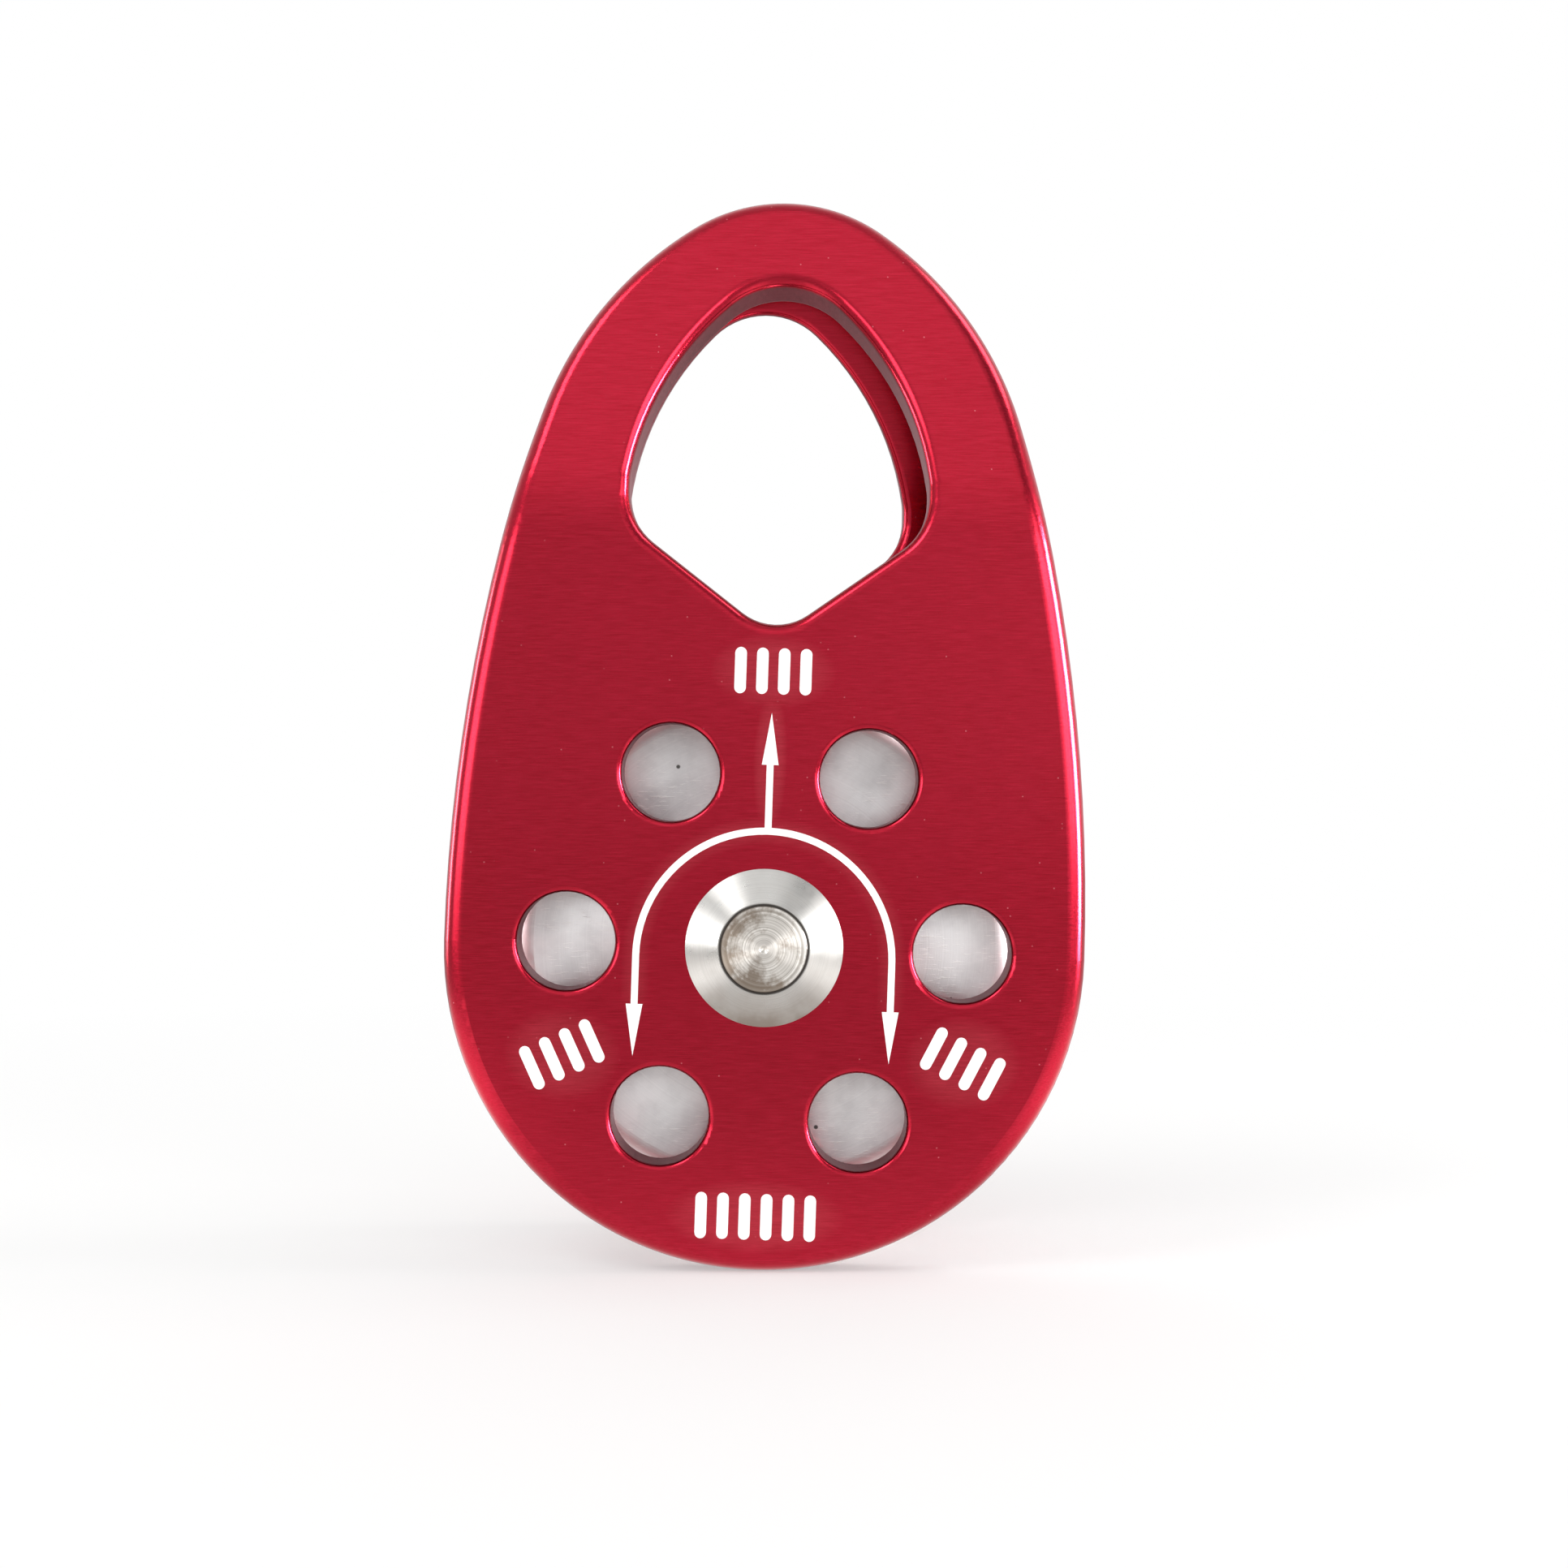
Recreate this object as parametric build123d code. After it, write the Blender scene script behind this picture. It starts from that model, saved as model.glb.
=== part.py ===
from build123d import *
import math
import os

# Swing-cheek rope pulley. Millimetres. The axle lies along Y through the origin, which is at the
# middle of the sheave. +Z runs from the axle to the carabiner eyes. The front cheek is at -Y.

# Cheek outline, seen along the axle
cheek_top = 82.6
rim_cover = 7.3
lower_drop = 0.35
shoulder_radius = 40.5
crown_radius = 18.3
crown_flank = 24.06

# Cheek plate and its bend
plate = 5.5
top_gap = 1.81
bend_height = 42.2
bend_inner_radius = 40.0
outer_round = 2.2
back_round = 1.0
hole_round = 0.65
eye_round = 1.3
eye_back_round = 0.9

# Carabiner eye
crown_wall = 9.7
eye_crown_radius = 8.6
eye_side_start = 8.65
eye_half_width = 16.25
eye_wide_height = 50.4
eye_straight = 0.3
eye_corner_radius = 7.0
eye_vee_bottom = 34.9
eye_vee_radius = 6.0

# Round windows
window_count = 6
window_diameter = 10.6
window_circle_radius = 21.4

# Rope and sheave
rope_diameter = 13.0
groove_ease = 0.1
tread_radius = 19.0
rim_rise = 1.9
rim_land = 1.4
rim_round = 2.0
lip_round = 0.3
cheek_clearance = 0.6
front_cheek_turn = 1.9

# Deep-groove ball bearings, one near each flank of the sheave
bearing_bore = 10.0
bearing_outside = 22.0
bearing_width = 6.0
bearing_recess = 0.5
bearing_corner = 0.3
seat_shoulder = 1.2
shoulder_gap = 2.2
ball_count = 9
ball_diameter = 3.175
race_gap = 0.05
cage_wall = 1.3
cage_gap = 0.2
pocket_gap = 0.06
seal_thickness = 0.5
seal_recess = 0.3
seal_gap = 0.1

# Axle
collar_wall = 1.6
collar_play = 0.05
end_play = 0.1
head_overhang = 1.9
head_height = 2.2
head_rim = 0.35
gap_ring = 0.12
face_land = 0.15
washer_gap = 0.6
spacer_step = 0.4
pin_step = 0.3
pin_stand = 0.05
pin_chamfer = 0.12
pin_dimple_diameter = 1.0
pin_dimple_depth = 0.4

# How close two things have to be to count as the same, and how far a cut runs past a surface
touch = 0.01
overrun = 1.0

# Sheave and bearings, worked out from the sizes above
groove_radius = rope_diameter / 2 + groove_ease
groove_middle = tread_radius + groove_radius
sheave_radius = groove_middle + rim_rise
sheave_width = 2 * (groove_radius + rim_land)
bearing_outer_face = sheave_width / 2 - bearing_recess
bearing_inner_face = bearing_outer_face - bearing_width
bearing_middle = bearing_outer_face - bearing_width / 2
pitch_radius = (bearing_bore + bearing_outside) / 4
inner_shoulder_radius = pitch_radius - shoulder_gap / 2
outer_shoulder_radius = pitch_radius + shoulder_gap / 2
ball_radius = ball_diameter / 2
cage_width = bearing_width - 2 * (seal_recess + seal_thickness + cage_gap)

# Cheeks. Both lean inwards above the bend, so that they all but meet at the top.
lower_radius = sheave_radius + rim_cover
half_gap = sheave_width / 2 + cheek_clearance
cheek_face = half_gap + plate
eye_top = cheek_top - crown_wall
lean_rise = cheek_top - bend_height
lean_start = bend_inner_radius - (half_gap - top_gap / 2)
lean = math.atan2(lean_rise, lean_start) - math.acos(bend_inner_radius / math.hypot(lean_rise, lean_start))
lean_degrees = math.degrees(lean)

# Axle, from its middle outwards
washer_face = half_gap - end_play
head_seat = cheek_face + end_play
head_top = head_seat + head_height
pin_end = head_top + pin_stand
spigot_radius = bearing_bore / 2 - pin_step
collar_radius = bearing_bore / 2 + collar_wall
cheek_bore_radius = collar_radius + collar_play
head_radius = collar_radius + head_overhang


def disc(radius, start, end):
    """A solid cylinder on the axle between two distances along +Y."""
    outline = Plane.XZ.offset(-start) * Circle(radius)
    return extrude(outline, amount=-(end - start))


def ring(outer, inner, start, end):
    """A plain ring on the axle."""
    return disc(outer, start, end) - disc(inner, start, end)


def turned(*points):
    """A solid turned about the axle from its half section, given as radius and distance along +Y."""
    section = make_face(Polyline(*[(r, y) for r, y in points], close=True))
    return revolve(section, Axis.Y)


def mirrored(part):
    """The same piece on the other side of the sheave's middle plane."""
    return mirror(part, about=Plane.XZ)


def circles_meet(centre_a, radius_a, centre_b, radius_b):
    """The lower of the two points where two circles in the cheek's plane meet."""
    across = centre_b - centre_a
    apart = across.length
    along = (radius_a**2 - radius_b**2 + apart**2) / (2 * apart)
    aside = math.sqrt(radius_a**2 - along**2)
    unit = across.normalized()
    middle = centre_a + unit * along
    offset = Vector(unit.Y, -unit.X) * aside
    return min(middle + offset, middle - offset, key=lambda point: point.Y)


def beyond(centre, through, radius):
    """The point at a radius from a centre, in the direction of another point."""
    return centre + (through - centre).normalized() * radius


def arc_about(centre, start, end):
    """The short arc about a centre from one point to another."""
    radius = (start - centre).length
    middle = beyond(centre, (start + end) / 2, radius)
    return ThreePointArc(start, middle, end)


def closed_outline(half):
    """A face in the cheek's plane from its right half and the mirror image of that half."""
    other = [mirror(edge, about=Plane.YZ) for edge in half]
    return make_face(Curve() + half + other)


def cheek_outline():
    """Half round at the bottom, then three tangent arcs a side up to the crown."""
    rise = cheek_top - crown_radius + lower_drop
    inset = lower_radius - crown_flank
    side_radius = (rise**2 + inset**2) / (2 * inset)
    lower_centre = Vector(0, -lower_drop)
    side_centre = Vector(lower_radius - side_radius, -lower_drop)
    crown_centre = Vector(0, cheek_top - crown_radius)
    shoulder_centre = circles_meet(
        side_centre, side_radius - shoulder_radius,
        crown_centre, shoulder_radius - crown_radius,
    )
    bottom = lower_centre - Vector(0, lower_radius)
    widest = lower_centre + Vector(lower_radius, 0)
    side_end = beyond(side_centre, shoulder_centre, side_radius)
    shoulder_end = beyond(shoulder_centre, crown_centre, shoulder_radius)
    half = [
        arc_about(lower_centre, bottom, widest),
        arc_about(side_centre, widest, side_end),
        arc_about(shoulder_centre, side_end, shoulder_end),
        arc_about(crown_centre, shoulder_end, Vector(0, cheek_top)),
    ]
    return closed_outline(half)


def upper_eye_outline():
    """The eye above its widest level, which is at height 0 here: corners, long sides and crown."""
    crown = Vector(0, (eye_top - eye_wide_height) / math.cos(lean))
    crown_centre = crown - Vector(0, eye_crown_radius)
    widest = Vector(eye_half_width, 0)
    corner_centre = widest - Vector(eye_corner_radius, 0)
    start = math.radians(eye_side_start)
    outward = Vector(math.cos(start), math.sin(start))
    across = crown_centre - corner_centre
    less = eye_corner_radius - eye_crown_radius
    reach = (less**2 - across.length**2) / (2 * (across.dot(outward) - less))
    side_centre = corner_centre - outward * reach
    side_start = corner_centre + outward * eye_corner_radius
    side_end = beyond(side_centre, crown_centre, reach + eye_corner_radius)
    half = [
        Line(Vector(0, 0), widest),
        arc_about(corner_centre, widest, side_start),
        arc_about(side_centre, side_start, side_end),
        arc_about(crown_centre, side_end, crown),
    ]
    return closed_outline(half)


def lower_eye_outline():
    """The eye below its widest level: rounded corners, two slanting sides and a round bottom."""
    straight = plate * math.sin(lean) + eye_straight
    straight_start = Vector(eye_half_width, eye_wide_height - straight)
    straight_end = Vector(eye_half_width, eye_wide_height + straight)
    corner_centre = straight_start - Vector(eye_corner_radius, 0)
    vee_centre = Vector(0, eye_vee_bottom + eye_vee_radius)
    across = corner_centre - vee_centre
    slope = math.atan2(across.Y, across.X) - math.asin(
        (eye_corner_radius - eye_vee_radius) / across.length
    )
    outward = Vector(math.sin(slope), -math.cos(slope))
    corner_end = corner_centre + outward * eye_corner_radius
    vee_end = vee_centre + outward * eye_vee_radius
    half = [
        arc_about(vee_centre, Vector(0, eye_vee_bottom), vee_end),
        Line(vee_end, corner_end),
        arc_about(corner_centre, corner_end, straight_start),
        Line(straight_start, straight_end),
        Line(straight_end, Vector(0, straight_end.Y)),
    ]
    return closed_outline(half)


def face_y(height, depth):
    """Where along Y the bent plate is at a height, at a depth below its outer face."""
    radius = bend_inner_radius + plate - depth
    bend_end = bend_height + radius * math.sin(lean)
    flat = depth - cheek_face
    if height <= bend_height:
        return flat
    if height <= bend_end:
        return flat + radius - math.sqrt(radius**2 - (height - bend_height) ** 2)
    return flat + radius * (1 - math.cos(lean)) + (height - bend_end) * math.tan(lean)


def bent_slab():
    """The plate's thickness, seen from the side: flat, then a bend, then straight to the top."""
    below = -2 * lower_radius
    rise = 2 * cheek_top
    outer = Line((-cheek_face, below), (-cheek_face, bend_height))
    outer_bend = JernArc(outer @ 1, outer % 1, bend_inner_radius + plate, -lean_degrees)
    outer_lean = Line(outer_bend @ 1, (outer_bend @ 1) + (outer_bend % 1) * rise)
    inner = Line((-half_gap, below), (-half_gap, bend_height))
    inner_bend = JernArc(inner @ 1, inner % 1, bend_inner_radius, -lean_degrees)
    inner_lean = Line(inner_bend @ 1, (inner_bend @ 1) + (inner_bend % 1) * rise)
    top = Line(outer_lean @ 1, inner_lean @ 1)
    foot = Line(inner @ 0, outer @ 0)
    curve = Curve() + [outer, outer_bend, outer_lean, top, inner_lean, inner_bend, inner, foot]
    section = make_face(Plane.YZ * curve)
    return extrude(section, amount=2 * lower_radius, both=True)


def eye_cutter():
    """Square to the flat plate below the widest level and square to the leaning plate above it."""
    reach = 2 * cheek_face
    level = Pos(0, face_y(eye_wide_height, 0), eye_wide_height) * Rot(-lean_degrees, 0, 0)
    lower = extrude(Plane.XZ * lower_eye_outline(), amount=reach)
    lower -= level * Pos(0, 0, reach) * Box(4 * reach, 4 * reach, 2 * reach)
    started = level * Pos(0, reach, 0)
    upper = extrude(started * (Plane.XZ * upper_eye_outline()), amount=2 * reach)
    return lower + upper


def window_cutters():
    """The round windows, straight through the flat part of the plate."""
    hole = extrude(Plane.XZ * Circle(window_diameter / 2), amount=2 * cheek_face)
    turn = 360 / window_count
    return [
        Rot(0, turn * number, 0) * Pos(window_circle_radius, 0, 0) * hole
        for number in range(window_count)
    ]


def round_point(point):
    """A point's coordinates, rounded for comparing."""
    return tuple(round(value, 3) for value in point)


def face_edges(edges, depth):
    """The edges that run round an outline or a hole on the plate's face at a depth."""
    found = []
    for edge in edges:
        middle = edge @ 0.5
        bend_line = edge.geom_type == GeomType.LINE and abs((edge % 0.5).X) > 1 - touch
        if abs(middle.Y - face_y(middle.Z, depth)) < touch and not bend_line:
            found.append(edge)
    return found


def cut_and_round(body, cutter, outer_radius, inner_radius):
    """Cuts a hole through the plate and rounds its edge on the outer and the inner face."""
    old = {round_point(edge @ 0.5) for edge in body.edges()}
    body -= cutter
    for depth, radius in ((0, outer_radius), (plate, inner_radius)):
        fresh = [edge for edge in body.edges() if round_point(edge @ 0.5) not in old]
        body = fillet(face_edges(fresh, depth), radius)
    return body


def cheek():
    """One pressed aluminium cheek, in the front cheek's place and upright."""
    body = extrude(Plane.XZ * cheek_outline(), amount=2 * cheek_face) & bent_slab()
    body = fillet(face_edges(body.edges(), 0), outer_round)
    body = fillet(face_edges(body.edges(), plate), back_round)
    body = cut_and_round(body, eye_cutter(), eye_round, eye_back_round)
    for window in window_cutters():
        body = cut_and_round(body, window, hole_round, hole_round)
    body -= disc(cheek_bore_radius, -2 * cheek_face, 0)
    return body


def sheave():
    """The aluminium wheel: a round-bottomed rope groove, and a bearing seat from each flank."""
    edge = sheave_width / 2
    wheel = disc(sheave_radius, -edge, edge)
    wheel = fillet(wheel.edges().filter_by(GeomType.CIRCLE), rim_round)
    groove = revolve(Plane.XY * Pos(groove_middle, 0) * Circle(groove_radius), Axis.Y)
    opening = ring(sheave_radius + overrun, groove_middle, -groove_radius, groove_radius)
    wheel -= groove + opening
    lips = [
        rim for rim in wheel.edges().filter_by(GeomType.CIRCLE)
        if rim.radius > groove_middle + touch and abs(abs(rim.center().Y) - groove_radius) < touch
    ]
    wheel = fillet(lips, lip_round)
    seat = bearing_outside / 2
    rear_seat = disc(seat, bearing_inner_face, edge + overrun)
    wheel -= rear_seat + mirrored(rear_seat)
    return wheel - disc(seat - seat_shoulder, -edge, edge)


def race(radius_at_bore, radius_at_shoulder, middle):
    """A bearing ring with a ball groove, from its plain cylinder to its shoulder."""
    half = bearing_width / 2
    low, high = sorted((radius_at_bore, radius_at_shoulder))
    body = ring(high, low, middle - half, middle + half)
    plain = [
        rim for rim in body.edges().filter_by(GeomType.CIRCLE)
        if abs(rim.radius - radius_at_bore) < touch
    ]
    body = chamfer(plain, bearing_corner)
    track = Plane.XY * Pos(pitch_radius, middle) * Circle(ball_radius + race_gap)
    return body - revolve(track, Axis.Y)


def balls(middle):
    """The balls of one bearing."""
    turn = 360 / ball_count
    return [
        Rot(0, turn * number, 0) * Pos(pitch_radius, middle, 0) * Sphere(ball_radius)
        for number in range(ball_count)
    ]


def cage(middle):
    """The pressed ring that keeps the balls apart, with a round pocket for each."""
    half = cage_width / 2
    body = ring(
        pitch_radius + cage_wall / 2, pitch_radius - cage_wall / 2, middle - half, middle + half
    )
    pocket = Rot(0, 90, 0) * Cylinder(ball_radius + pocket_gap, 2 * cage_wall)
    turn = 360 / ball_count
    for number in range(ball_count):
        body -= Rot(0, turn * number, 0) * Pos(pitch_radius, middle, 0) * pocket
    return body


def seal(middle, side):
    """One rubber seal, held in the outer ring and just clear of the inner one."""
    outer = middle + side * (bearing_width / 2 - seal_recess)
    inner = outer - side * seal_thickness
    return ring(
        outer_shoulder_radius, inner_shoulder_radius + seal_gap, min(inner, outer), max(inner, outer)
    )


def axle_pin():
    """The pin, stepped down at each end where a head sits, with a centre dimple in each end."""
    pin = disc(bearing_bore / 2, -head_seat, head_seat) + disc(spigot_radius, -pin_end, pin_end)
    ends = [
        rim for rim in pin.edges().filter_by(GeomType.CIRCLE)
        if abs(rim.center().Y) > pin_end - touch
    ]
    pin = chamfer(ends, pin_chamfer)
    dimple = turned(
        (0, pin_end - pin_dimple_depth), (pin_dimple_diameter / 2, pin_end), (0, pin_end),
    )
    return pin - dimple - mirrored(dimple)


def rear_collar():
    """A turned steel head with a barrel that the cheek swings on, pressed on the pin's end."""
    bore = bearing_bore / 2
    land = spigot_radius + gap_ring
    return turned(
        (bore, washer_face), (collar_radius, washer_face), (collar_radius, head_seat),
        (head_radius, head_seat), (head_radius, head_seat + head_rim),
        (land + face_land, head_top), (land, head_top),
        (land, head_top - gap_ring), (spigot_radius, head_top - gap_ring),
        (spigot_radius, head_seat), (bore, head_seat),
    )


def rear_washer():
    """The steel washer between the inner bearing ring and the collar."""
    outside = outer_shoulder_radius - washer_gap
    return ring(outside, bearing_bore / 2, bearing_outer_face, washer_face)


def inner_ring_spacer():
    """The short tube that keeps the two inner rings apart."""
    outside = inner_shoulder_radius - spacer_step
    return ring(outside, bearing_bore / 2, -bearing_inner_face, bearing_inner_face)


def pieces():
    """Every piece by name."""
    bore = bearing_bore / 2
    outside = bearing_outside / 2
    front = -bearing_middle
    upright_cheek = cheek()
    return {
        "front_cheek": Rot(0, front_cheek_turn, 0) * upright_cheek,
        "rear_cheek": mirrored(upright_cheek),
        "sheave": sheave(),
        "axle_pin": axle_pin(),
        "front_collar": mirrored(rear_collar()),
        "rear_collar": rear_collar(),
        "front_washer": mirrored(rear_washer()),
        "rear_washer": rear_washer(),
        "inner_ring_spacer": inner_ring_spacer(),
        "front_inner_ring": race(bore, inner_shoulder_radius, front),
        "rear_inner_ring": race(bore, inner_shoulder_radius, -front),
        "front_outer_ring": race(outside, outer_shoulder_radius, front),
        "rear_outer_ring": race(outside, outer_shoulder_radius, -front),
        "front_cage": cage(front),
        "rear_cage": cage(-front),
        "front_balls": Compound(balls(front)),
        "rear_balls": Compound(balls(-front)),
        "front_outer_seal": seal(front, -1),
        "front_inner_seal": seal(front, 1),
        "rear_inner_seal": seal(-front, -1),
        "rear_outer_seal": seal(-front, 1),
    }


os.makedirs("parts", exist_ok=True)
for name, piece in pieces().items():
    export_step(piece, f"parts/{name}.step")
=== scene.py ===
import math

import bmesh
import bpy
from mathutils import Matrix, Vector


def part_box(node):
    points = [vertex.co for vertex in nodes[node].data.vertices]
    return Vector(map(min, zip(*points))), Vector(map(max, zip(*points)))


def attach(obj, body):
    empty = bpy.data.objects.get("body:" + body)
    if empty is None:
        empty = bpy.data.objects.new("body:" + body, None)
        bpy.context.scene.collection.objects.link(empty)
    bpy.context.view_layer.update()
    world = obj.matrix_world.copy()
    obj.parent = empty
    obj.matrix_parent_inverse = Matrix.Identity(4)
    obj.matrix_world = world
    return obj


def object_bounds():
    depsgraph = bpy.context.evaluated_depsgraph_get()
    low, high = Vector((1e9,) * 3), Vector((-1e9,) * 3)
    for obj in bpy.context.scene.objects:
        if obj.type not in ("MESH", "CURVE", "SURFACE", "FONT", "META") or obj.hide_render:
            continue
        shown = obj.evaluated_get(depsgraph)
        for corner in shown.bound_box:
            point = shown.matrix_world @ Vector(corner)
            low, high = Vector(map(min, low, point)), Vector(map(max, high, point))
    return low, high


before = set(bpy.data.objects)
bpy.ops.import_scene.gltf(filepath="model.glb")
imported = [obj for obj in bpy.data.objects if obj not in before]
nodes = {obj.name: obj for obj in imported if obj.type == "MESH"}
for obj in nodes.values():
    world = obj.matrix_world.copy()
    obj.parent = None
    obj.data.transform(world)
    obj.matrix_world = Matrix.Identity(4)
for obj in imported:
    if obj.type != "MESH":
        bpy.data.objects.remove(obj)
cad_low, cad_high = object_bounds()

# ---------------------------------------------------------------- axle pin
# A plain 10 mm steel pin, parted off on a lathe, so its ends carry turned rings and a dimple.
# It holds both heads, the washers and the bearings' inner rings, and its ends are browner
# towards the rim, the left and the bottom, in patches.
MM = 0.001
ring_dark, ring_bright = (0.46, 0.43, 0.39), (0.95, 0.92, 0.88)
stain_brown = (0.20, 0.145, 0.10)
brown_outward, brown_right, brown_up = 0.05, -0.03, -0.012
# Near black for the seam between pin and head, a painted shade.
seam_shade_black = (0.05, 0.04, 0.035)
pin_rim = (4.52, 4.6)


def start_material(name, metallic=1.0, roughness=0.5, colour=(0.8, 0.8, 0.8)):
    """A new finish: its material, node tree and shader. Links made later replace these values."""
    made = bpy.data.materials.new(name)
    made.use_nodes = True
    shader = made.node_tree.nodes["Principled BSDF"]
    shader.inputs["Metallic"].default_value = metallic
    shader.inputs["Roughness"].default_value = roughness
    shader.inputs["Base Color"].default_value = (*colour, 1)
    return made, made.node_tree, shader


def add(tree, kind, **settings):
    """A new node. Values for its sockets go in inputs, and the rest are the node's settings."""
    node = tree.nodes.new(kind)
    for key, value in settings.pop("inputs", {}).items():
        node.inputs[key].default_value = value
    for key, value in settings.items():
        setattr(node, key, value)
    return node


def maths(tree, operation, first, second=0.0, third=None):
    """One arithmetic step. Each operand is a number or another node's output."""
    node = tree.nodes.new("ShaderNodeMath")
    node.operation = operation
    for socket, value in zip(node.inputs, (first, second, third)):
        if isinstance(value, (int, float)):
            socket.default_value = value
        elif value is not None:
            tree.links.new(value, socket)
    return node.outputs[0]


def place(tree, scale=(1, 1, 1), turn=(0, 0, 0)):
    """The piece's own coordinates in millimetres, stretched and turned."""
    where = add(tree, "ShaderNodeTexCoord")
    mapping = add(tree, "ShaderNodeMapping")
    mapping.inputs["Rotation"].default_value = turn
    mapping.inputs["Scale"].default_value = [1 / MM * value for value in scale]
    tree.links.new(where.outputs["Object"], mapping.inputs["Vector"])
    return mapping.outputs[0]


def axes(tree, vector):
    """The X, Y and Z of a vector."""
    parts = add(tree, "ShaderNodeSeparateXYZ")
    tree.links.new(vector, parts.inputs[0])
    return parts.outputs


def noise(tree, vector, scale=1.0, detail=4.0, roughness=0.6):
    """Cloudy noise from 0 to 1. Scale is its features per millimetre."""
    node = add(tree, "ShaderNodeTexNoise",
               inputs={"Scale": scale, "Detail": detail, "Roughness": roughness})
    tree.links.new(vector, node.inputs["Vector"])
    return node.outputs["Fac"]


def between(tree, value, low, high, to_low=0.0, to_high=1.0):
    """Value, mapped from one range to another and held inside it."""
    node = add(tree, "ShaderNodeMapRange",
               inputs={"From Min": low, "From Max": high, "To Min": to_low, "To Max": to_high})
    tree.links.new(value, node.inputs["Value"])
    return node.outputs["Result"]


def blend_colours(tree, share, first, second):
    """A colour between two, each a plain colour or another node's output."""
    node = add(tree, "ShaderNodeMix", data_type="RGBA")
    tree.links.new(share, node.inputs["Factor"])
    for socket, value in zip(node.inputs[6:8], (first, second)):
        if isinstance(value, tuple):
            socket.default_value = (*value, 1)
        else:
            tree.links.new(value, socket)
    return node.outputs[2]


def bump(tree, shader, height, depth):
    """Raises the surface by height times depth, in millimetres."""
    node = add(tree, "ShaderNodeBump", inputs={"Strength": 1.0, "Distance": depth * MM})
    tree.links.new(height, node.inputs["Height"])
    tree.links.new(node.outputs[0], shader.inputs["Normal"])


def axle_radius(tree):
    """Distance from the axle in millimetres."""
    x, _, z = axes(tree, place(tree))
    square = maths(tree, "MULTIPLY_ADD", z, z, maths(tree, "MULTIPLY", x, x))
    return maths(tree, "SQRT", square)


def turned_lines(tree, per_mm, uneven=0.5):
    """Lathe lines round the axle, as a height from 0 to 1."""
    radius = axle_radius(tree)
    blur = noise(tree, place(tree), scale=0.35, detail=2.0)
    line = add(tree, "ShaderNodeTexNoise", noise_dimensions="1D",
               inputs={"Scale": per_mm, "Detail": 3.0, "Roughness": 0.7})
    tree.links.new(maths(tree, "MULTIPLY_ADD", blur, uneven * 0.02, radius), line.inputs["W"])
    return line.outputs["Fac"]


def spun(tree, shader, stretch):
    """Stretches reflections across the lathe rings that run round the axle."""
    round_axle = add(tree, "ShaderNodeTangent", direction_type="RADIAL", axis="Y")
    tree.links.new(round_axle.outputs[0], shader.inputs["Tangent"])
    shader.inputs["Anisotropic"].default_value = stretch
    shader.inputs["Anisotropic Rotation"].default_value = 0.25


def dress(node_names, made):
    """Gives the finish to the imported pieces."""
    for node_name in node_names:
        slots = nodes[node_name].material_slots
        if not slots:
            nodes[node_name].data.materials.append(made)
        for slot in slots:
            slot.material = made


pin_steel, tree, shader = start_material("pin_steel")
lines = turned_lines(tree, 3.5)
stain = noise(tree, place(tree), scale=0.45, detail=6.0, roughness=0.65)
x, _, z = axes(tree, place(tree))
# The brown patches grow towards the rim, the left and the bottom.
drift = maths(tree, "MULTIPLY", axle_radius(tree), brown_outward)
drift = maths(tree, "MULTIPLY_ADD", x, brown_right, drift)
drift = maths(tree, "ADD", drift, maths(tree, "MULTIPLY", z, brown_up))
brown = between(tree, maths(tree, "ADD", stain, drift), 0.58, 0.78, 0.0, 0.8)
steel = blend_colours(tree, between(tree, lines, 0.3, 0.7), ring_dark, ring_bright)
steel = blend_colours(tree, brown, steel, stain_brown)
# Painted shade: a near black ring at the pin's edge, where it meets the head.
rim = between(tree, axle_radius(tree), *pin_rim, 0.0, 0.9)
steel = blend_colours(tree, rim, steel, seam_shade_black)
tree.links.new(steel, shader.inputs["Base Color"])
tree.links.new(between(tree, stain, 0.3, 0.7, 0.3, 0.5), shader.inputs["Roughness"])
spun(tree, shader, 0.85)
bump(tree, shader, lines, 0.012)
dress(["axle_pin"], pin_steel)

# ---------------------------------------------------------------- bearings
# Two sealed deep-groove ball bearings, hardened and ground, pushed into the sheave from each side.
# The rings are fine ground steel, the balls polished, the cages pressed and the seals rubber.
ground_dark, ground_bright = (0.52, 0.52, 0.54), (0.70, 0.70, 0.72)
ball_grey = (0.78, 0.78, 0.8)
cage_dark, cage_bright = (0.40, 0.39, 0.37), (0.58, 0.57, 0.55)
rubber_dark, rubber_bright = (0.012, 0.012, 0.013), (0.03, 0.03, 0.032)

ground_steel, tree, shader = start_material("ground_steel")
lines = turned_lines(tree, 9.0, uneven=0.2)
ground = blend_colours(tree, lines, ground_dark, ground_bright)
tree.links.new(ground, shader.inputs["Base Color"])
tree.links.new(between(tree, lines, 0.3, 0.7, 0.18, 0.32), shader.inputs["Roughness"])
bump(tree, shader, lines, 0.004)
dress(["front_inner_ring", "rear_inner_ring", "front_outer_ring", "rear_outer_ring"],
      ground_steel)

ball_steel, tree, shader = start_material("ball_steel", colour=ball_grey)
smear = noise(tree, place(tree), scale=0.8, detail=3.0)
tree.links.new(between(tree, smear, 0.3, 0.7, 0.04, 0.14), shader.inputs["Roughness"])
dress(["front_balls", "rear_balls"], ball_steel)

cage_steel, tree, shader = start_material("cage_steel", roughness=0.4)
pressed = noise(tree, place(tree), scale=3.0)
cage = blend_colours(tree, pressed, cage_dark, cage_bright)
tree.links.new(cage, shader.inputs["Base Color"])
bump(tree, shader, pressed, 0.01)
dress(["front_cage", "rear_cage"], cage_steel)

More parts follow.
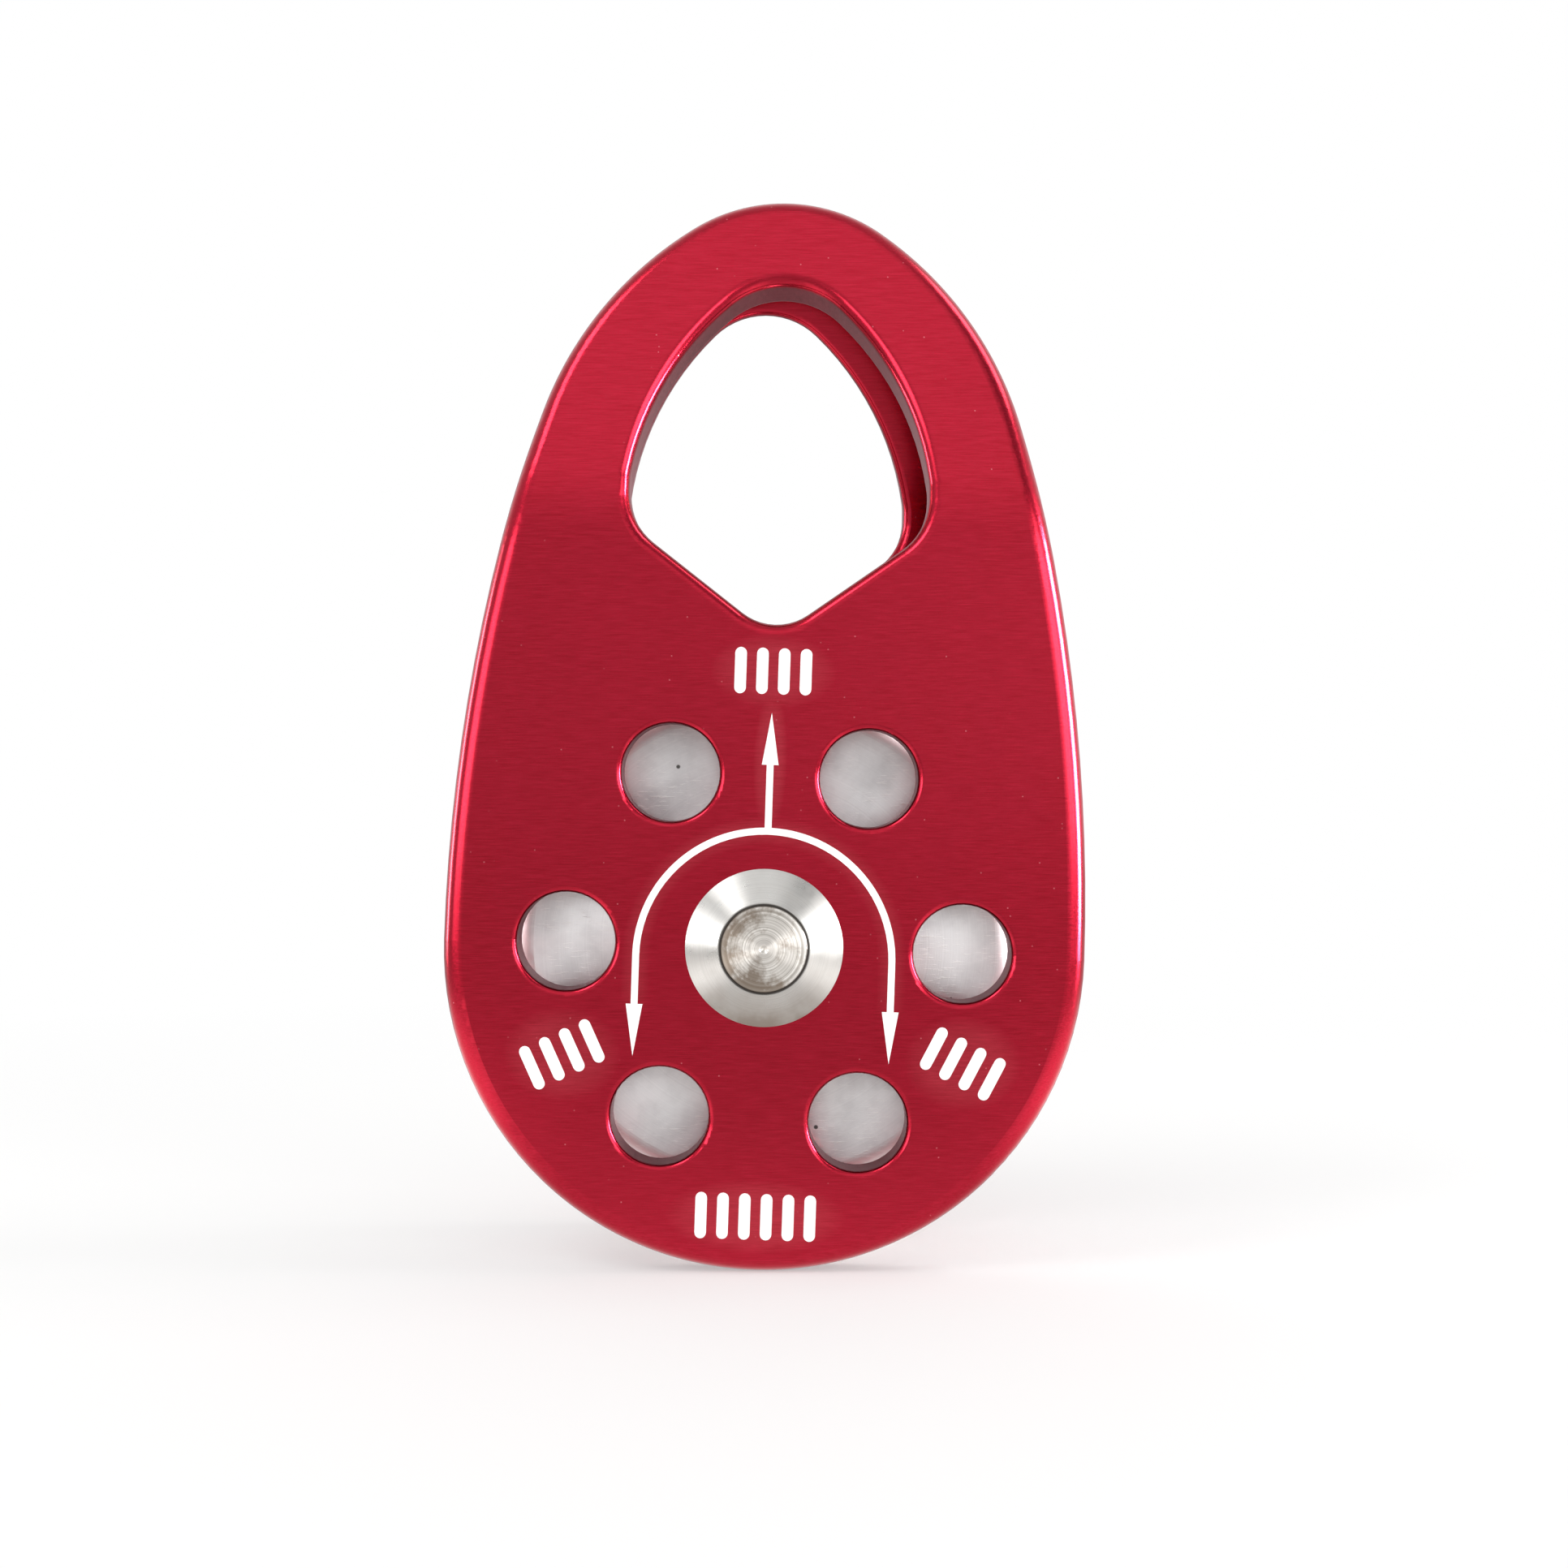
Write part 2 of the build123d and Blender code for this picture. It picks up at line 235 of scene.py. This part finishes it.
seal_rubber, tree, shader = start_material("seal_rubber", metallic=0.0)
grain = noise(tree, place(tree), scale=6.0)
rubber = blend_colours(tree, grain, rubber_dark, rubber_bright)
tree.links.new(rubber, shader.inputs["Base Color"])
tree.links.new(between(tree, grain, 0.3, 0.7, 0.5, 0.72), shader.inputs["Roughness"])
bump(tree, shader, grain, 0.01)
dress(["front_outer_seal", "front_inner_seal", "rear_inner_seal", "rear_outer_seal"],
      seal_rubber)

# ---------------------------------------------------------------- sheave
# The wheel the rope runs over, turned from aluminium bar and left bare. It keeps the tool's fine
# rings, with grey patches, scratches and a few specks of dirt from use.
bare_dark, bare_bright = (0.84, 0.84, 0.85), (0.96, 0.96, 0.96)
rubbed_grey = (0.56, 0.55, 0.56)
scratch_white = (0.98, 0.98, 0.97)
speck_black = (0.06, 0.055, 0.05)
scratch_runs = (((0.5, 1, 5.0), 0.9), ((0.4, 1, 4.0), -0.35))

bare_aluminium, tree, shader = start_material("bare_aluminium")
lines = turned_lines(tree, 5.0)
rubbed = noise(tree, place(tree), scale=0.16, detail=6.0, roughness=0.62)
metal = blend_colours(tree, lines, bare_dark, bare_bright)
grey = between(tree, rubbed, 0.42, 0.68, 0.0, 0.4)
metal = blend_colours(tree, grey, metal, rubbed_grey)
strokes = [
    between(tree, noise(tree, place(tree, stretch, (0, lean, 0)), detail=3.0), 0.60, 0.66)
    for stretch, lean in scratch_runs
]
worn = between(tree, noise(tree, place(tree), scale=0.22, detail=3.0), 0.42, 0.55)
scratch = maths(tree, "MULTIPLY", maths(tree, "MAXIMUM", *strokes), worn)
metal = blend_colours(tree, maths(tree, "MULTIPLY", scratch, 0.8), metal, scratch_white)
dirt = add(tree, "ShaderNodeTexVoronoi", inputs={"Scale": 0.22})
tree.links.new(place(tree), dirt.inputs["Vector"])
speck = between(tree, dirt.outputs["Distance"], 0.04, 0.06, 0.9, 0.0)
metal = blend_colours(tree, speck, metal, speck_black)
tree.links.new(metal, shader.inputs["Base Color"])
tree.links.new(between(tree, rubbed, 0.3, 0.75, 0.42, 0.56), shader.inputs["Roughness"])
spun(tree, shader, 0.85)
bump(tree, shader, maths(tree, "ADD", lines, scratch), 0.008)
dress(["sheave"], bare_aluminium)

# ---------------------------------------------------------------- washers and spacer
# Ground steel washers between each bearing and its head, and a short tube between the inner
# rings. They clamp the inner rings along the pin, so that only the outer rings turn.
washer_dark, washer_bright = (0.45, 0.45, 0.46), (0.64, 0.64, 0.65)

washer_steel, tree, shader = start_material("washer_steel", roughness=0.32)
lines = turned_lines(tree, 7.0)
washer = blend_colours(tree, lines, washer_dark, washer_bright)
tree.links.new(washer, shader.inputs["Base Color"])
bump(tree, shader, lines, 0.006)
dress(["front_washer", "rear_washer", "inner_ring_spacer"], washer_steel)

# ---------------------------------------------------------------- cheeks
# Two plates pressed from aluminium sheet, tumbled to round their edges, brushed and anodised red.
# The carabiner eye and the windows are punched first, so the dye covers their walls too.
dye_dark, dye_bright = (0.34, 0.001, 0.013), (0.40, 0.002, 0.019)
dye_brushed = (0.56, 0.014, 0.045)
pit_pink = (0.85, 0.25, 0.28)
bleached_pink = (0.85, 0.14, 0.17)
torn_dark, torn_bright = (0.10, 0.008, 0.015), (0.24, 0.035, 0.052)
brush_strokes, torn_strokes = (0.35, 9.0, 9.0), (2.5, 0.7, 2.5)

anodised_red, tree, shader = start_material("anodised_red")
cloud = noise(tree, place(tree), scale=0.05, detail=3.0)
brushed = noise(tree, place(tree, brush_strokes), detail=5.0, roughness=0.7)
dye = blend_colours(tree, cloud, dye_dark, dye_bright)
dye = blend_colours(tree, between(tree, brushed, 0.35, 0.75, 0.0, 0.8), dye, dye_brushed)

# Small pits where the dye took badly: most of the speck pattern is dropped, and three in ten stay.
specks = add(tree, "ShaderNodeTexVoronoi", inputs={"Scale": 0.75})
tree.links.new(place(tree), specks.inputs["Vector"])
pit = between(tree, specks.outputs["Distance"], 0.03, 0.08, 1.0, 0.0)
rare = add(tree, "ShaderNodeTexWhiteNoise", noise_dimensions="3D")
tree.links.new(specks.outputs["Position"], rare.inputs["Vector"])
pit = maths(tree, "MULTIPLY", pit, maths(tree, "GREATER_THAN", rare.outputs["Value"], 0.7))
dye = blend_colours(tree, maths(tree, "MULTIPLY", pit, 0.6), dye, pit_pink)

# The laser that burns the load marks also bleaches the dye a little way round them. The places
# and sizes are in millimetres from the axle, before the cheek's own small turn about it.
cheek_turn = math.radians(1.9)
arc_centre = -1.25
arc_radius = 13.8
arc_legs_start, arc_legs_full = -8, -5
eye_rating, rope_rating = (0, 29.8), (0, -29.0)
left_rating, right_rating = (-21.4, -12.2), (21.8, -11.8)
stem_middle = (0, 20.0)
bleached_ovals = [
    (eye_rating, 5.6, 3.3), (left_rating, 5.2, 4.2), (right_rating, 5.2, 4.2),
    (rope_rating, 8.0, 3.3), (stem_middle, 1.5, 6.5),
]
bleached_front = -14.0

across, depth, up = axes(tree, place(tree, turn=(0, -cheek_turn, 0)))


def bleached(centre, half_width, half_height):
    """1 well inside an oval on the cheek, half way at its edge, and 0 a little outside it."""
    side = maths(tree, "DIVIDE", maths(tree, "SUBTRACT", across, centre[0]), half_width)
    rise = maths(tree, "DIVIDE", maths(tree, "SUBTRACT", up, centre[1]), half_height)
    square = maths(tree, "MULTIPLY_ADD", rise, rise, maths(tree, "MULTIPLY", side, side))
    return between(tree, square, 0.5, 1.5, 1.0, 0.0)


above = maths(tree, "MAXIMUM", maths(tree, "SUBTRACT", up, arc_centre), 0.0)
away = maths(tree, "MULTIPLY_ADD", above, above, maths(tree, "MULTIPLY", across, across))
away = maths(tree, "ABSOLUTE", maths(tree, "SUBTRACT", maths(tree, "SQRT", away), arc_radius))
pale = maths(tree, "MULTIPLY", between(tree, away, 0.3, 1.6, 1.0, 0.0),
             between(tree, up, arc_legs_start, arc_legs_full))
for centre, half_width, half_height in bleached_ovals:
    pale = maths(tree, "MAXIMUM", pale, bleached(centre, half_width, half_height))
pale = maths(tree, "MULTIPLY", pale, maths(tree, "LESS_THAN", depth, bleached_front))
pale = maths(tree, "MULTIPLY", pale, between(tree, brushed, 0.2, 0.8, 0.08, 0.22))
dye = blend_colours(tree, pale, dye, bleached_pink)

# The punched walls and edges take the dye unevenly: they are matt, greyer and slightly torn.
facing = axes(tree, add(tree, "ShaderNodeTexCoord").outputs["Normal"])
punched = between(tree, maths(tree, "ABSOLUTE", facing["Y"]), 0.25, 0.5, 1.0, 0.0)
torn = noise(tree, place(tree, torn_strokes), detail=6.0, roughness=0.7)
walls = blend_colours(tree, torn, torn_dark, torn_bright)
tree.links.new(blend_colours(tree, punched, dye, walls), shader.inputs["Base Color"])
rough = between(tree, brushed, 0.3, 0.75, 0.17, 0.25)
rough = maths(tree, "MULTIPLY_ADD", punched, 0.28, rough)
tree.links.new(rough, shader.inputs["Roughness"])
coat = maths(tree, "MULTIPLY_ADD", punched, -0.26, 0.3)
tree.links.new(coat, shader.inputs["Coat Weight"])
shader.inputs["Coat IOR"].default_value = 1.5
shader.inputs["Coat Roughness"].default_value = 0.16
relief = maths(tree, "SUBTRACT", brushed, pit)
relief = maths(tree, "MULTIPLY_ADD", maths(tree, "MULTIPLY", torn, punched), 4.0, relief)
bump(tree, shader, relief, 0.005)
dress(["front_cheek", "rear_cheek"], anodised_red)

# ---------------------------------------------------------------- heads
# Turned steel heads pressed on the pin's ends. The cone is left with fine lathe rings, and the
# cheek swings on the barrel behind it. A painted reflection browns the cone low down, and
# painted shade darkens the seam round the pin.
head_dark, head_bright = (0.46, 0.45, 0.43), (0.64, 0.63, 0.61)
head_dull = (0.42, 0.40, 0.37)
painted_reflection_brown = (0.22, 0.17, 0.13)
painted_reflection_top, painted_reflection_full = -3.5, -8.0
head_seam = (4.82, 4.9)

head_steel, tree, shader = start_material("head_steel")
lines = turned_lines(tree, 8.0, uneven=0.3)
soft = noise(tree, place(tree), scale=0.25, detail=3.0)
steel = blend_colours(tree, lines, head_dark, head_bright)
steel = blend_colours(tree, between(tree, soft, 0.5, 0.75, 0.0, 0.4), steel, head_dull)
height = axes(tree, place(tree))["Z"]
# Painted reflection: the cone is painted brown towards the bottom, where its rings mirror a dark
# fan.
painted_reflection = between(tree, height, painted_reflection_top, painted_reflection_full, 0.0, 0.7)
painted_reflection = maths(tree, "MULTIPLY", painted_reflection, between(tree, soft, 0.3, 0.6, 0.5, 1.0))
steel = blend_colours(tree, painted_reflection, steel, painted_reflection_brown)
# Painted shade: a near black ring on the head round the pin, in the seam between them.
seam = between(tree, axle_radius(tree), *head_seam, 0.9, 0.0)
steel = blend_colours(tree, seam, steel, seam_shade_black)
tree.links.new(steel, shader.inputs["Base Color"])
tree.links.new(between(tree, soft, 0.3, 0.7, 0.24, 0.38), shader.inputs["Roughness"])
spun(tree, shader, 0.6)
bump(tree, shader, lines, 0.006)
dress(["front_collar", "rear_collar"], head_steel)

# ---------------------------------------------------------------- load marks
# White marks burnt into the front cheek's dye by a laser: an arrow up to the eye, an arc with an
# arrow down each side of the sheave, and plain bars where a maker puts ratings.
mark_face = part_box("front_cheek")[0].y
burn_out, burn_in = 0.02 * MM, 0.01 * MM
line_width = 0.74
leg_end, stem_end = -6.5, 19.7
tip_length, tip_width = 5.6, 1.8
bar_width, bar_height, bar_pitch = 1.25, 5.0, 2.35
side_lean = math.radians(26)
burn_dark, burn_bright = (0.84, 0.78, 0.78), (0.95, 0.93, 0.92)

white_burn, tree, shader = start_material("white_burn", metallic=0.0, roughness=0.6)
chalk = noise(tree, place(tree), scale=2.5)
burn = blend_colours(tree, chalk, burn_dark, burn_bright)
tree.links.new(burn, shader.inputs["Base Color"])
bump(tree, shader, chalk, 0.006)


def mark(name, outlines):
    """A thin film on the front cheek from flat outlines of (x, z) points in millimetres."""
    turn_x, turn_z = math.cos(cheek_turn), math.sin(cheek_turn)
    mesh = bmesh.new()
    for outline in outlines:
        corners = [
            mesh.verts.new(((x * turn_x + z * turn_z) * MM, mark_face + burn_in,
                            (z * turn_x - x * turn_z) * MM))
            for x, z in outline
        ]
        made = bmesh.ops.extrude_face_region(mesh, geom=[mesh.faces.new(corners)])
        moved = [item for item in made["geom"] if isinstance(item, bmesh.types.BMVert)]
        bmesh.ops.translate(mesh, vec=(0, -burn_in - burn_out, 0), verts=moved)
    bmesh.ops.recalc_face_normals(mesh, faces=mesh.faces)
    data = bpy.data.meshes.new(name)
    mesh.to_mesh(data)
    mesh.free()
    data.materials.append(white_burn)
    piece = bpy.data.objects.new(name, data)
    bpy.context.scene.collection.objects.link(piece)
    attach(piece, "front_cheek")


def arc_points(radius, first, last):
    """Points along the load arc, from one angle to another, in radians from +X."""
    steps = 40
    angles = [first + (last - first) * number / steps for number in range(steps + 1)]
    return [(radius * math.cos(a), arc_centre + radius * math.sin(a)) for a in angles]


def arrow_outline():
    """The whole load mark as one outline, clockwise from the left arrow's tip."""
    half_line, half_tip = line_width / 2, tip_width / 2
    outer, inner = arc_radius + half_line, arc_radius - half_line
    stem_gap = math.acos(half_line / outer)
    left = [(-arc_radius, leg_end - tip_length), (-arc_radius - half_tip, leg_end),
            (-outer, leg_end)]
    left += arc_points(outer, math.pi, math.pi - stem_gap)
    left += [(-half_line, stem_end), (-half_tip, stem_end)]
    right = [(-x, z) for x, z in reversed(left)]
    back = [(arc_radius - half_tip, leg_end), (inner, leg_end)]
    back += arc_points(inner, 0, math.pi)
    back += [(-inner, leg_end), (-arc_radius + half_tip, leg_end)]
    return left + [(0, stem_end + tip_length)] + right + back


def bar_row(centre, lean, count):
    """A row of plain upright bars with round ends, about a centre and turned by an angle."""
    outlines = []
    cap = bar_width / 2
    for number in range(count):
        shift = (number - (count - 1) / 2) * bar_pitch
        outline = []
        for side in (1, -1):
            for step in range(9):
                angle = math.pi * step / 8 + (0 if side == 1 else math.pi)
                x = shift + cap * math.cos(angle)
                z = side * (bar_height / 2 - cap) + cap * math.sin(angle)
                outline.append((
                    centre[0] + x * math.cos(lean) - z * math.sin(lean),
                    centre[1] + x * math.sin(lean) + z * math.cos(lean),
                ))
        outlines.append(outline)
    return outlines


mark("load_arrows", [arrow_outline()])
mark("eye_rating_bars", bar_row(eye_rating, 0, 4))
mark("left_rating_bars", bar_row(left_rating, side_lean, 4))
mark("right_rating_bars", bar_row(right_rating, -side_lean, 4))
mark("rope_rating_bars", bar_row(rope_rating, 0, 6))

# ---------------------------------------------------------------- studio
# A pale floor that the round end stands on, soft light from all round, and the camera. The floor
# is plain to the eye, but reads darker close by and brighter at the sides where metal mirrors it.
floor_size = 3.0
floor_mesh = bmesh.new()
bmesh.ops.create_grid(floor_mesh, x_segments=2, y_segments=2, size=floor_size)
floor_data = bpy.data.meshes.new("floor")
floor_mesh.to_mesh(floor_data)
floor_mesh.free()
floor = bpy.data.objects.new("floor", floor_data)
floor.location.z = cad_low.z
bpy.context.scene.collection.objects.link(floor)

floor_paint, tree, shader = start_material(
    "floor_paint", metallic=0.0, roughness=0.9, colour=(0.8, 0.8, 0.795))
white = add(tree, "ShaderNodeEmission", inputs={"Color": (1, 1, 1, 1), "Strength": 1.0})
warm = add(tree, "ShaderNodeEmission", inputs={"Color": (1, 0.97, 0.95, 1)})
on_floor = add(tree, "ShaderNodeTexCoord").outputs["Object"]
length = add(tree, "ShaderNodeVectorMath", operation="LENGTH")
tree.links.new(on_floor, length.inputs[0])
reach = length.outputs["Value"]
nearby = between(tree, reach, 0.02, 0.16, 1.0, 0.66)
sideways = maths(tree, "ABSOLUTE", axes(tree, on_floor)["X"])
sideways = maths(tree, "MULTIPLY", between(tree, sideways, 0.03, 0.06, 0.0, 0.9),
                 between(tree, reach, 0.10, 0.22, 1.0, 0.0))
tree.links.new(maths(tree, "ADD", nearby, sideways), warm.inputs["Strength"])


def blend_shaders(share, first, second):
    """A mix of two of the floor's shaders."""
    node = add(tree, "ShaderNodeMixShader")
    for socket, value in zip(node.inputs, (share, first, second)):
        tree.links.new(value, socket)
    return node.outputs[0]


fade = between(tree, reach, 0.06, 0.3, 0.4, 1.0)
plain = blend_shaders(fade, shader.outputs[0], white.outputs[0])
in_gloss = add(tree, "ShaderNodeLightPath").outputs["Is Glossy Ray"]
look = blend_shaders(in_gloss, plain, warm.outputs[0])
tree.links.new(look, tree.nodes["Material Output"].inputs["Surface"])
floor_data.materials.append(floor_paint)

# Soft glows in the room round the pulley. Each has its turn from the camera towards the camera's
# right and its rise, how far out it is full and has faded, and what it adds to the room's light.
# The angles are in degrees.
room_light = 0.78
glows = [
    (0, 42, 5, 30, 0.45), (22, 0, 0, 26, 0.35), (45, 4, 12, 24, 5.0), (-46, 0, 12, 24, 4.2),
    (46, 36, 5, 24, -0.4), (180, 0, 40, 85, 0.3),
]
world = bpy.data.worlds.new("studio")
bpy.context.scene.world = world
world.use_nodes = True
tree = world.node_tree
direction = add(tree, "ShaderNodeTexCoord").outputs["Generated"]


def glow(turn, rise, full, faded):
    """1 near a direction and 0 away from it, with all four angles in degrees."""
    turn, rise = math.radians(turn), math.radians(rise)
    dot = add(tree, "ShaderNodeVectorMath", operation="DOT_PRODUCT")
    dot.inputs[1].default_value = (
        math.sin(turn) * math.cos(rise), -math.cos(turn) * math.cos(rise), math.sin(rise))
    tree.links.new(direction, dot.inputs[0])
    ramp = add(tree, "ShaderNodeMapRange", interpolation_type="SMOOTHSTEP", inputs={
        "From Min": math.cos(math.radians(faded)), "From Max": math.cos(math.radians(full))})
    tree.links.new(dot.outputs["Value"], ramp.inputs["Value"])
    return ramp.outputs["Result"]


light = room_light
for turn, rise, full, faded, strength in glows:
    light = maths(tree, "MULTIPLY_ADD", glow(turn, rise, full, faded), strength, light)
grey = add(tree, "ShaderNodeCombineColor")
for socket in grey.inputs:
    tree.links.new(light, socket)
to_camera = add(tree, "ShaderNodeLightPath").outputs["Is Camera Ray"]
backdrop = blend_colours(tree, to_camera, grey.outputs[0], (1, 1, 1))
tree.links.new(backdrop, tree.nodes["Background"].inputs["Color"])

middle = (cad_low + cad_high) / 2


def soft_box(name, stands_at, size, power, lights_matt=True):
    """A rectangular soft light that faces the pulley. Some light only gloss and not matt paint."""
    data = bpy.data.lights.new(name, "AREA")
    data.shape = "RECTANGLE"
    data.size, data.size_y = size
    data.energy = power
    box = bpy.data.objects.new(name, data)
    box.location = stands_at
    box.rotation_euler = (middle - Vector(stands_at)).to_track_quat("-Z", "Y").to_euler()
    box.visible_diffuse = lights_matt
    bpy.context.scene.collection.objects.link(box)


soft_box("right_box", (0.39, 0.02, 0.46), (0.22, 0.22), 0.8)
soft_box("left_box", (-0.32, -0.24, 0.45), (0.22, 0.22), 0.8)
soft_box("right_strip", (0.5, -0.04, 0.03), (0.16, 0.36), 11, lights_matt=False)
soft_box("left_strip", (-0.5, 0.12, 0.03), (0.1, 0.3), 1.2, lights_matt=False)

camera_data = bpy.data.cameras.new("camera")
camera_data.lens = 50.1
camera_data.sensor_width = 36
camera_data.clip_start = 0.01
camera = bpy.data.objects.new("camera", camera_data)
camera.location = (0.00214, -0.2491, 0.01763)
camera.rotation_euler = (math.radians(90), 0, 0)
bpy.context.scene.collection.objects.link(camera)
bpy.context.scene.camera = camera
bpy.context.scene.view_settings.view_transform = "Standard"
